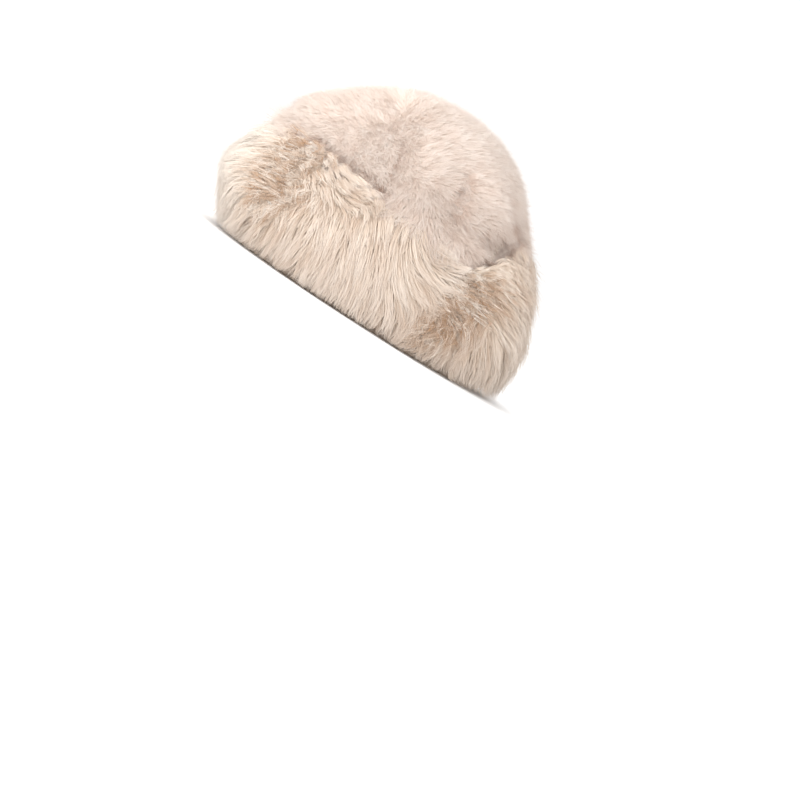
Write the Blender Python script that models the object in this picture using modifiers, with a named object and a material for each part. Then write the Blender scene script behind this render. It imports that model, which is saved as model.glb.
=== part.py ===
"""A fur hat: a hollow domed crown of short pile, and a deep long-pile cuff turned up round its rim.

It rests on the cuff. The wearer's front is towards -Y and the wearer's left towards +X. An azimuth is
an angle round the hat: 0 at the front, 90 at the wearer's left, 180 at the back. All lengths are metres.
"""

import math
import random
from collections import namedtuple

import bmesh
import bpy
import numpy as np
from mathutils import Vector

# Head opening, inside the crown
OPENING_LENGTH = 0.195
OPENING_WIDTH = 0.166
OPENING_SHIFT = 0.002  # the opening's middle lies this far behind the middle of the hat

# Crown
CROWN_WALL = 0.011  # backing and short pile together
CROWN_TOP = 0.179
CROWN_RIM = 0.002
FOLD_DEPTH = 0.007

# Cuff
CUFF_HEIGHT = 0.096
CUFF_DEPTH = 0.029
CUFF_EDGE = 0.005
CUFF_FIT = 0.0003  # clearance between the crown's wall and the cuff

# Locks of the cuff's pile
LOCK_LENGTH = 0.040
LOCK_WIDTH = 0.019
LOCK_THICKNESS = 0.009
LOCK_LIFT = 0.008
ROOT_DEPTH = 0.004  # how far a lock starts inside the cuff

# Fineness of the mesh
CROWN_SIDES = 54
CROWN_LEVELS = 17
CUFF_LEVELS = 8
LOCK_SIDES = 4
LOCK_STATIONS = 3
OVERCUT = 0.004  # how far a shape runs past the face that a cut leaves

HALF_LENGTH = OPENING_LENGTH / 2 + CROWN_WALL
HALF_WIDTH = OPENING_WIDTH / 2 + CROWN_WALL

# Rings of the crown from the rim up to the apex. A reach is a share of HALF_LENGTH at the front and back
# and of HALF_WIDTH at the side, and a rise is a share of the way from the rim to the top.
Ring = namedtuple("Ring", "front_reach front_rise side_reach side_rise back_reach back_rise")
RINGS = (
    Ring(1.01, 0.00, 1.00, 0.00, 1.01, 0.00),
    Ring(1.04, 0.18, 1.02, 0.18, 1.03, 0.18),
    Ring(1.08, 0.36, 1.03, 0.36, 1.04, 0.34),
    Ring(1.10, 0.53, 1.01, 0.52, 1.02, 0.50),
    Ring(1.08, 0.64, 0.96, 0.64, 0.94, 0.62),
    Ring(0.96, 0.75, 0.87, 0.75, 0.83, 0.73),
    Ring(0.78, 0.84, 0.73, 0.84, 0.68, 0.83),
    Ring(0.58, 0.92, 0.53, 0.92, 0.49, 0.92),
    Ring(0.32, 0.98, 0.29, 0.98, 0.26, 0.98),
    Ring(0.00, 1.00, 0.00, 1.00, 0.00, 1.00),
)

# Folds of the crown, the same on both sides. Half turns and the lean are degrees of azimuth, a lean is
# the turn over the full rise, rises are shares of the crown's, and a depth is a share of FOLD_DEPTH:
# positive for a puffed lobe, negative for a crease.
Fold = namedtuple("Fold", "azimuth rise half_turn half_rise lean depth")
FOLDS = (
    Fold(76, 0.66, 8, 0.13, -20, -0.45),
    Fold(106, 0.66, 8, 0.11, -70, -0.80),
    Fold(127, 0.73, 19, 0.09, 0, 1.05),
    Fold(133, 0.60, 18, 0.03, 0, -0.90),
    Fold(150, 0.60, 10, 0.05, 0, -0.70),
    Fold(122, 0.49, 15, 0.06, 0, 0.60),
    Fold(92, 0.70, 12, 0.12, 0, 0.40),
    Fold(42, 0.84, 16, 0.05, 0, -0.70),
    Fold(60, 0.93, 30, 0.05, 0, 0.45),
    Fold(24, 0.66, 22, 0.07, 0, 0.45),
    Fold(170, 0.78, 14, 0.10, 0, -0.35),
)

# The cuff at an azimuth, the same on both sides. The top is a share of CUFF_HEIGHT and the belly, where
# the fur stands out furthest, a share of that top. Depth at the belly and foot depth on the floor are
# shares of CUFF_DEPTH. The pile runs down with a sweep to the rear in degrees, and its tips stand off by
# a lift, a share of LOCK_LIFT.
Section = namedtuple("Section", "azimuth top belly depth foot sweep lift")
SECTIONS = (
    Section(0, 1.00, 0.50, 1.00, 0.26, 0, 1.00),
    Section(25, 0.91, 0.50, 0.96, 0.34, -18, 0.85),
    Section(45, 0.89, 0.46, 0.90, 0.45, 4, 0.75),
    Section(70, 0.86, 0.42, 0.85, 0.55, 22, 0.70),
    Section(90, 0.89, 0.40, 0.84, 0.60, 34, 0.70),
    Section(110, 0.84, 0.36, 0.84, 0.65, 42, 0.70),
    Section(122, 0.80, 0.32, 0.84, 0.70, 30, 0.70),
    Section(140, 1.02, 0.26, 0.86, 0.72, 20, 0.75),
    Section(158, 1.08, 0.22, 0.90, 0.74, 12, 0.80),
    Section(180, 1.02, 0.20, 0.92, 0.76, 0, 0.80),
)
BELLY_ROUND = 1.35  # 1 gives the cuff a sharp wedge for a belly, and 2 a full round one

# Rows of locks. A start is a share of the cuff's top, and the rest are shares of the lock's sizes.
LockRow = namedtuple("LockRow", "start count length width lift")
LOCK_ROWS = (
    LockRow(0.97, 26, 0.95, 1.20, 0.70),
    LockRow(0.68, 28, 1.00, 1.20, 1.00),
    LockRow(0.36, 30, 0.80, 1.15, 0.60),
)
LOCK_SEED = 7
LOCK_VARIATION = 0.22

CROWN_COLOUR = (0.76, 0.63, 0.55)
CUFF_COLOUR = (0.74, 0.60, 0.47)
PILE_ROUGHNESS = 0.9


def clear_scene():
    for leftover in list(bpy.data.objects):
        bpy.data.objects.remove(leftover)


def new_collection(name):
    collection = bpy.data.collections.new(name)
    bpy.context.scene.collection.children.link(collection)
    return collection


def new_material(name, colour):
    material = bpy.data.materials.new(name)
    material.use_nodes = True
    shader = material.node_tree.nodes["Principled BSDF"]
    shader.inputs["Base Color"].default_value = (*colour, 1.0)
    shader.inputs["Roughness"].default_value = PILE_ROUGHNESS
    shader.inputs["Metallic"].default_value = 0.0
    return material


def new_object(name, mesh_builder, collection):
    """Makes an object of the faces that mesh_builder adds to a bmesh, as flat triangles."""
    bm = bmesh.new()
    mesh_builder(bm)
    bmesh.ops.triangulate(bm, faces=bm.faces, quad_method="FIXED")
    bmesh.ops.recalc_face_normals(bm, faces=bm.faces)
    mesh = bpy.data.meshes.new(name)
    bm.to_mesh(mesh)
    bm.free()
    made = bpy.data.objects.new(name, mesh)
    collection.objects.link(made)
    return made


def smooth_between(keys, rows, key):
    """A table's row at key, on a smooth curve through its rows."""
    i = min(max(int(np.searchsorted(keys, key)) - 1, 0), len(keys) - 2)

    def slope(j):
        before, after = max(j - 1, 0), min(j + 1, len(keys) - 1)
        return (rows[after] - rows[before]) / (keys[after] - keys[before])

    span = keys[i + 1] - keys[i]
    t = (key - keys[i]) / span
    near, far = (1 + 2 * t) * (1 - t) ** 2, t * t * (3 - 2 * t)
    leaving, arriving = t * (1 - t) ** 2, t * t * (t - 1)
    return near * rows[i] + far * rows[i + 1] + span * (leaving * slope(i) + arriving * slope(i + 1))


RING_KEYS = np.linspace(0, 1, len(RINGS))
RING_ROWS = np.array(RINGS, float)
# The sections again, mirrored past the front and the back, so that the curve through them closes.
SECTION_ROWS = np.array(
    [(-s.azimuth, *s[1:]) for s in SECTIONS[2:0:-1]]
    + [tuple(s) for s in SECTIONS]
    + [(360 - s.azimuth, *s[1:]) for s in SECTIONS[-2:-4:-1]],
    float,
)


def crown_ring(level):
    """The crown's ring at a level from 0, the rim, to 1, the apex."""
    return Ring(*smooth_between(RING_KEYS, RING_ROWS, level))


def crown_point(azimuth, ring):
    """A point of the crown's outer face without its folds, and its rise."""
    turn = math.radians(azimuth)
    ahead = math.cos(turn) > 0
    reach = ring.front_reach if ahead else ring.back_reach
    end_rise = ring.front_rise if ahead else ring.back_rise
    rise = ring.side_rise + (end_rise - ring.side_rise) * math.cos(turn) ** 2
    point = Vector(
        (
            HALF_WIDTH * ring.side_reach * math.sin(turn),
            OPENING_SHIFT - HALF_LENGTH * reach * math.cos(turn),
            CROWN_RIM + rise * (CROWN_TOP - CROWN_RIM),
        )
    )
    return point, rise


def from_front(azimuth):
    """The angle from the front, 0 to 180, the same on both sides."""
    return abs((azimuth + 180) % 360 - 180)


def fold_height(azimuth, rise):
    """How far the folds raise the crown's face there, by a sum of soft bumps."""
    aside = from_front(azimuth)
    height = 0.0
    for fold in FOLDS:
        across = (aside - fold.azimuth - fold.lean * (rise - fold.rise)) / fold.half_turn
        along = (rise - fold.rise) / fold.half_rise
        height += fold.depth * math.exp(-(across**2 + along**2))
    return FOLD_DEPTH * height


def add_grid(bm, rings, closed=False):
    """Joins rings of points with quads, and with closed also the last ring to the first.

    A last ring of one point makes a pole.
    """
    made = [[bm.verts.new(p) for p in ring] for ring in rings]
    pairs = list(zip(made, made[1:])) + ([(made[-1], made[0])] if closed else [])
    for lower, upper in pairs:
        for i in range(len(lower)):
            j = (i + 1) % len(lower)
            if len(upper) == 1:
                bm.faces.new((lower[i], lower[j], upper[0]))
            else:
                bm.faces.new((lower[i], lower[j], upper[j], upper[i]))
    return made


def crown_face(bm, outset=0.0):
    """Adds the crown's outer face with its folds, moved out by outset, and returns its rings."""
    azimuths = [360 * i / CROWN_SIDES for i in range(CROWN_SIDES)]
    levels = [i / CROWN_LEVELS for i in range(CROWN_LEVELS)]
    rings, heights = [], []
    for level in levels:
        ring = crown_ring(level)
        placed = [crown_point(azimuth, ring) for azimuth in azimuths]
        rings.append([point for point, _ in placed])
        heights.append([fold_height(a, rise) for a, (_, rise) in zip(azimuths, placed)])
    rings.append([crown_point(0, crown_ring(1))[0]])
    heights.append([0.0])
    made = add_grid(bm, rings)
    bmesh.ops.recalc_face_normals(bm, faces=bm.faces)
    bm.normal_update()
    facing = [[vertex.normal.copy() for vertex in ring] for ring in made]
    for ring, normals, lifts in zip(made, facing, heights):
        for vertex, normal, lift in zip(ring, normals, lifts):
            vertex.co += normal * (lift + outset)
    return made


def make_crown(collection):
    """The crown: its outer face, with the wall inside it."""
    crown = new_object("crown", crown_face, collection)
    wall = crown.modifiers.new("wall", "SOLIDIFY")
    wall.thickness = CROWN_WALL
    wall.offset = -1
    crown.data.materials.append(new_material("short_pile", CROWN_COLOUR))
    crown.data.shade_smooth()
    return crown


def crown_clearance(bm):
    """A solid of the crown's outer face and CUFF_FIT more, closed below the floor."""
    made = crown_face(bm, CUFF_FIT)
    below = [bm.verts.new((v.co.x, v.co.y, -2 * OVERCUT)) for v in made[0]]
    for i in range(CROWN_SIDES):
        j = (i + 1) % CROWN_SIDES
        bm.faces.new((below[i], below[j], made[0][j], made[0][i]))
    bm.faces.new(below)


def section_at(azimuth):
    """The cuff's section there."""
    return Section(*smooth_between(SECTION_ROWS[:, 0], SECTION_ROWS, from_front(azimuth)))


def wall_point(azimuth, height):
    """A point of the crown's outer face at a height, and the level way out from it."""
    levels = np.linspace(0, 0.7, 15)
    heights = [crown_point(azimuth, crown_ring(level))[0].z for level in levels]
    level = float(np.interp(height, heights, levels))
    ring = crown_ring(level)
    here = crown_point(azimuth, ring)[0]
    step = crown_point(azimuth + 1, ring)[0] - crown_point(azimuth - 1, ring)[0]
    return Vector((here.x, here.y, height)), Vector((step.y, -step.x, 0)).normalized()


def cuff_depth(section, height):
    """The cuff's depth at a height: most at the belly, less towards the top edge and the foot."""
    top = section.top * CUFF_HEIGHT
    belly = section.belly * top
    end, reach = (CUFF_EDGE, top - belly) if height > belly else (section.foot * CUFF_DEPTH, belly)
    away = min(abs(height - belly) / reach, 1.0)
    return end + (section.depth * CUFF_DEPTH - end) * (1 - away**BELLY_ROUND)


def cuff_point(azimuth, height, outset=0.0):
    """A point of the cuff's face at a height, moved outwards by outset."""
    wall, outward = wall_point(azimuth, height)
    return wall + outward * (cuff_depth(section_at(azimuth), height) + outset)


def cuff_body(bm):
    """Adds the cuff without its locks, from inside the crown's wall to its own face."""
    sections = []
    for i in range(CROWN_SIDES):
        azimuth = 360 * i / CROWN_SIDES
        top = section_at(azimuth).top * CUFF_HEIGHT
        heights = [top + (-OVERCUT - top) * j / CUFF_LEVELS for j in range(CUFF_LEVELS + 1)]
        outer = [cuff_point(azimuth, height) for height in heights]
        inner = []
        for height in (-OVERCUT, top / 2, top):
            wall, outward = wall_point(azimuth, height)
            inner.append(wall - outward * OVERCUT)
        sections.append(outer + inner)
    add_grid(bm, sections, closed=True)


def add_lock(bm, row, azimuth, chance):
    """Adds one lock: a flat tapered tuft that leaves the cuff's face and runs down it to a raised point."""
    section = section_at(azimuth)
    side = 1 if (azimuth % 360) < 180 else -1
    vary = 1 + LOCK_VARIATION * chance.uniform(-1, 1)
    length = LOCK_LENGTH * row.length * vary
    start = section.top * CUFF_HEIGHT * row.start
    sweep = math.radians(section.sweep + 60 * LOCK_VARIATION * chance.uniform(-1, 1))
    around = math.degrees(length * math.sin(sweep) / (HALF_WIDTH + CUFF_DEPTH)) * side
    lift = LOCK_LIFT * section.lift * row.lift * (1 + LOCK_VARIATION * chance.uniform(-1, 1))
    path = []
    for i in range(LOCK_STATIONS + 1):
        share = i / LOCK_STATIONS
        height = start - length * math.cos(sweep) * share
        outset = -ROOT_DEPTH + (ROOT_DEPTH + lift) * share
        path.append(cuff_point(azimuth + around * share, height, outset))
    rings = []
    for i in range(LOCK_STATIONS):
        share = i / LOCK_STATIONS
        along = (path[i + 1] - path[i]).normalized()
        outward = wall_point(azimuth + around * share, max(path[i].z, 0))[1]
        across = along.cross(outward).normalized()
        outward = across.cross(along)
        taper = math.sqrt(1 - share)
        width = LOCK_WIDTH * row.width / 2 * taper
        thickness = LOCK_THICKNESS / 2 * taper
        ring = []
        for j in range(LOCK_SIDES):
            turn = 2 * math.pi * j / LOCK_SIDES
            ring.append(path[i] + across * width * math.cos(turn) + outward * thickness * math.sin(turn))
        rings.append(ring)
    made = add_grid(bm, rings + [[path[-1]]])
    bm.faces.new(made[0])


def locks_of_row(index, half):
    """A builder of every second lock of a row, which neighbours in one mesh would cross."""
    row = LOCK_ROWS[index]

    def build(bm):
        chance = random.Random(LOCK_SEED + 100 * index + half)
        for i in range(half, row.count, 2):
            jitter = LOCK_VARIATION * chance.uniform(-1, 1)
            add_lock(bm, row, 360 * (i + 0.5 * (index % 2) + jitter) / row.count, chance)

    return build


def add_boolean(target, cutter, operation):
    cutter.hide_render = True
    cutter.display_type = "WIRE"
    step = target.modifiers.new(cutter.name, "BOOLEAN")
    step.operation = operation
    step.object = cutter


def floor_block(bm):
    """A block under the floor that is wider than the cuff."""
    bmesh.ops.create_cube(bm, size=1)
    wide = 2 * (HALF_LENGTH + CUFF_DEPTH + LOCK_LENGTH)
    for vertex in bm.verts:
        vertex.co.x *= wide
        vertex.co.y *= wide
        vertex.co.z = (vertex.co.z - 0.5) * 2 * LOCK_LENGTH


def make_cuff(collection, cutters):
    """The cuff: its body fused with rows of locks, then cut to the crown and to the floor."""
    cuff = new_object("cuff", cuff_body, collection)
    for index in range(len(LOCK_ROWS)):
        for half in range(2):
            locks = new_object(f"locks_{index}_{half}", locks_of_row(index, half), cutters)
            add_boolean(cuff, locks, "UNION")
    add_boolean(cuff, new_object("crown_clearance", crown_clearance, cutters), "DIFFERENCE")
    add_boolean(cuff, new_object("floor_block", floor_block, cutters), "DIFFERENCE")
    cuff.data.materials.append(new_material("long_pile", CUFF_COLOUR))
    return cuff


def main():
    clear_scene()
    hat = new_collection("fur_hat")
    cutters = new_collection("cutters")
    make_crown(hat)
    make_cuff(hat, cutters)


main()
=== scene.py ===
"""The looks of a fur hat: short pile on its domed crown, long pile on the cuff turned up round its rim.

All lengths are metres. The wearer's front is towards -Y and the wearer's left towards +X. An azimuth is an
angle round the hat's upright middle line: 0 at the front, a quarter turn at the wearer's left, a half turn at
the back. A lay is the direction in which the pile lies, seen from the wearer's left: 0 is straight down, 90
to the rear and -90 to the front. It is mirrored on the wearer's right.
"""

import math

import bpy
import numpy as np
from mathutils import Matrix, Vector


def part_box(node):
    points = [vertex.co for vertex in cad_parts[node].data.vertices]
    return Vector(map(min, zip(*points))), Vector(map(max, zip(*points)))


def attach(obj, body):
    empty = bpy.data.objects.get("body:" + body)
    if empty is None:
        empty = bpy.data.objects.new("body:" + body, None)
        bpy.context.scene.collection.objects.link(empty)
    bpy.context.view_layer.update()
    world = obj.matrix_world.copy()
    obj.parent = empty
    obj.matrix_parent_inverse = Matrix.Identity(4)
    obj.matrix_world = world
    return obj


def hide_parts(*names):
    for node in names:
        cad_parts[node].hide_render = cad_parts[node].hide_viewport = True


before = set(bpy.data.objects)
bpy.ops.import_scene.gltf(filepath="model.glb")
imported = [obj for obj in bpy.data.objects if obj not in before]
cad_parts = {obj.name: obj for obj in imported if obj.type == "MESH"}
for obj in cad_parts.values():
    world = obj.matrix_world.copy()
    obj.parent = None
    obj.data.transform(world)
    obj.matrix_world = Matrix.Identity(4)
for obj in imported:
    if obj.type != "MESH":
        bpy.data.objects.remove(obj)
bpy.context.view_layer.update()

FULL_TURN = 2 * math.pi
MILLIMETRE = 0.001

# Steps of the plane's golden ratio, which spread roots evenly
EVEN_ROUND = 0.7548776662
EVEN_UP = 0.5698402910

# Rays that read the CAD solids
RAY_SIDES = 180
RAY_SLACK = 1e-6  # how far past its edge a triangle is still met, as a share of its sides
CROWN_CENTRE_HEIGHT = 0.060  # the crown's rays are level up to it, and the others start at it
CROWN_LOW_ROWS = 16
CROWN_HIGH_ROWS = 42
RIM_HEIGHT = 0.0025
CUFF_ROW_STEP = 0.002
CUFF_ROW_TOP = 0.150
FACET_SMOOTHING = 2  # passes that take the solids' flat faces out of the crown's face
LOCK_SMOOTHING = 10  # passes that take the solids' coarse locks out of the cuff's face
EDGE_SMOOTHING = 4
RELIEF_SMOOTHING = 12  # passes that take out the crown's folds
ROUND_SMOOTHING = 3  # means round the hat in each pass, for locks and folds
RELIEF_FADE_ROWS = 6  # below the apex
FOLD_GAIN = 0.85  # the pile's folds as a share of the solid's

# Strands
SHADE_MOST = 1.25  # a strand's shade at the palest: 0 is tan, about 1 its material's own colour, and above it paler fur, partly painted highlight
STRAND_FLATNESS = 0.5  # a strand's thickness as a share of its width
RING_TURNS = (30, 150, 270)  # a section's corners, in degrees
NORMAL_BLEND = 0.75  # how far an outward side's shading normal leans to the way out of the hat
FLANK_BLEND = 0.5  # the same for a strand's other sides
NORMAL_ROUND = 0.25  # how far an outward side's normals lean apart at its edges, as on a round strand
MAP_MARGIN_U = 0.02  # free at both ends of a strand on the map
MAP_MARGIN_V = 0.03  # and beside the darkest and the palest one
MAP_SIDE = 0.004  # a side's width on the map
STRAY_WIDTH = 0.6  # a stray strand's, as a share of another's

# The crown's short pile
CROWN_SEED = 11
CROWN_PILE_DEPTH = 0.0055  # from the base of the short pile to the crown's face
CROWN_DEPTH_EASE = 0.008  # the height over which it comes to that depth
CROWN_HIDDEN = 0.014  # how far the short pile goes on below the cuff's top edge
CROWN_PILE_ROW = CROWN_LOW_ROWS - 4  # the row from which it grows
CROWN_TUFTS = 9000
CROWN_TUFT_STRANDS = 10
CROWN_TUFT_SPREAD = 0.0024
CROWN_GATHER = 0.2  # how far a tuft's points draw together
CROWN_ROOT_DEPTH = 0.0006  # in the base
CROWN_LENGTH = 0.0105
CROWN_LENGTHS = (0.7, 1.15)  # a strand's, as shares of its tuft's
CROWN_STRAND_WIDTH = 0.00062  # at the root
CROWN_WIDTHS = (0.6, 1.2)  # shares of it
CROWN_LIFT = 0.8  # a share of the marks' lift
CROWN_WHORL_LIFT = 0.2  # more where lays meet; this and the next six are radians
CROWN_LAY_WAVES = 0.22
CROWN_CURL_WAVES = 0.9
CROWN_LIFT_WAVES = 0.08
CROWN_LAY_SCATTER = 0.14
CROWN_STRAND_LAY = (0.15, 0.3)  # without curl, and how much more with it
CROWN_STRAND_LIFT = (0.12, 0.1)
CROWN_SHADE_SHARE = 0.5  # how much the marks' shades count
CROWN_SHADE_WAVES = 0.08
CROWN_TUFT_SHADE = (0.04, 0.09)
CROWN_STRAND_SHADE = (0.03, 0.05)
CROWN_STRAY_SHARE = 0.18  # strays lift more and are longer
CROWN_STRAY_LIFT = 0.8
CROWN_STRAY_LONGER = 0.4

# Where the short pile drapes over the cuff's top edge, it is longer and stands higher: distances behind the
# middle in millimetres and shares, and how far above the edge it does so most, and over what height
DRAPES = ((-104, -96, -25, -5, 57, 72), (1, 0, 0, 1, 1, 0))
DRAPE_ABOVE = 0.002
DRAPE_SPREAD = 0.010
DRAPE_LONGER = 0.6
DRAPE_RISE = 0.007

# The cuff's pelt
CUFF_PELT_ROWS = 40
CUFF_BACK_STRIDE = 5  # rows on its face for each one behind it
CUFF_LIP = 0.005  # how far off the crown the cuff's face goes on above its top edge
CUFF_LIP_LEAST = 0.004
CUFF_FIT = 0.0003
CUFF_THINNEST = 4 * CUFF_FIT
CUFF_PILE_DEPTH = 0.006  # from the base of the long pile to the cuff's face
CUFF_PILE_SHARE = 0.5  # and at most this share of the cuff's depth
FOOT_RECESS = 0.009  # how far the base draws in at the floor, under the fringe
FOOT_EASE = 1.5
FOOT_RISE = 0.016  # up to here it draws in, and its colour has the full painted shade
FOOT_SHADE_TOP = 1.6 * FOOT_RISE  # above it the base has no painted shade

# The cuff's long pile
CUFF_SEED = 23
CUFF_TUFTS = 2000
FRONT_TUFTS = 260  # more tufts, for the front
FRONT_PART = 0.25  # of the way round the hat
CUFF_TUFT_STRANDS = 20
CUFF_LOCK_STRANDS = 5  # in the locks that a tuft parts into in the curls
CUFF_TUFT_SPREAD = 0.0034
CUFF_RADIUS = 0.115  # turns short ways round the cuff into azimuths
CUFF_STRAND_WIDTH = 0.00050
CUFF_WIDTHS = (0.5, 1.2)  # shares of it
CUFF_STATIONS = (0.0, 0.3, 0.66, 1.0)  # a strand's places, as shares of its length
STATION_WIDTHS = (1.0, 0.85)  # shares of its width at the middle ones
ROOT_LOWEST = 0.011
ROOT_HIGHEST = 0.002  # above the edge
ROOT_DEPTH = 0.0005  # in the base
ROOT_DEEPEST = 0.6  # and at most this share of the cuff's depth
CUFF_LENGTH = 0.043
CUFF_LENGTHS = (0.85, 1.15)  # a tuft's, as shares of it
EDGE_REACH = 0.008  # tufts nearer to the cuff's top edge are shorter, by these shares
EDGE_LENGTHS = (0.4, 0.9)
STRAND_LENGTHS = (0.7, 1.0)  # a strand's, as shares of its tuft's

# A tuft's middle line
LINE_STEPS = 8
POINT_EASE = 1.8  # above 1 it rises early and then runs along the cuff
LEVEL_LEAST = 0.3  # of each step, along the cuff
MIDDLE_SOFTNESS = 0.3  # near the middle plane the pile turns downwards, over this sine of the azimuth
CUFF_LAY_WANDER = 0.09  # in radians
TUFT_STAND = (0.0006, 0.35)  # scatter off the face, and how much more with looseness
STRAND_STAND = (0.0003, 0.8)

# Locks, bends, curls, strays and the drawing together of strands
LOCK_CURL = 0.2  # the curl above which tufts part into locks, and how fast
LOCK_RATE = 1.5
LOCK_HOLD = 0.7  # how far a lock's strands keep together
LOCK_SPREAD = 0.8
BEND = 0.0013
LOCK_BEND = 0.005
BEND_MIDDLE = 0.6  # its share halfway along, and at the point
BEND_POINT = 0.5
SWING = 0.0045  # how far a curl swings, how fast and how soon
SWING_RATE = 9
SWING_ONSET = 3
SWING_SCATTER = 0.3
STRAY_SHARE = 0.07  # of all strands, and how much more for each millimetre of looseness
STRAY_LOOSE = 0.055
STRAY_RISE = 0.007
STRAY_RISES = (0.3, 1.2)  # shares of it
STRAY_EASE = 1.3
GATHERS = (0.5, 1)  # a tuft's drawing together, as shares of the marks'
GATHER_EASE = 0.9

# The fringe of points above the floor
FRINGE_HEIGHT = 0.0024  # how high its shorter strands end
FRINGE_TOP = 2 * FRINGE_HEIGHT  # tufts that end lower draw together more
FRINGE_RAGGED = 0.0022
FRINGE_STRAND = 0.5  # a strand's own part of that
FRINGE_LONG = 0.6  # the share of strands that end lower, down to the floor
FRINGE_LOWER = (-3, 1)  # where, as shares of FRINGE_HEIGHT
FRINGE_SHORTEST = 0.12  # the least share of a strand's length
FRINGE_GATHER = 0.65  # by at least so much, if the marks' share is FRINGE_GATHER_AT or more
FRINGE_GATHER_AT = 0.5
FLOOR_CLEAR = 0.0006
FLOOR_SOFTNESS = 0.001

# Shades of the long pile
CUFF_SHADE_WAVES = 0.08
TUFT_SHADE = 0.05
LOCK_SHADE = 0.45
STRAND_SHADE = 0.06

# Finishes
STRAND_FINISH = {
    "Specular IOR Level": 0.25,
    "Sheen Weight": 0.5,
    "Sheen Roughness": 0.5,
    "Sheen Tint": (1.0, 0.96, 0.9, 1.0),
}
BASE_FINISH = {"Roughness": 0.95, "Specular IOR Level": 0.15}
BACKING_FINISH = {"Roughness": 0.9, "Specular IOR Level": 0.2}
FLOOR_FINISH = {"Base Color": (0.94, 0.94, 0.94, 1.0), "Roughness": 0.9}
BACKING_STITCH = 0.0022
BACKING_RADIUS = 0.1  # the inside's mean, by which the columns are counted
BACKING_SLANT = 1.2  # in radians of a stitch's height

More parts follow.
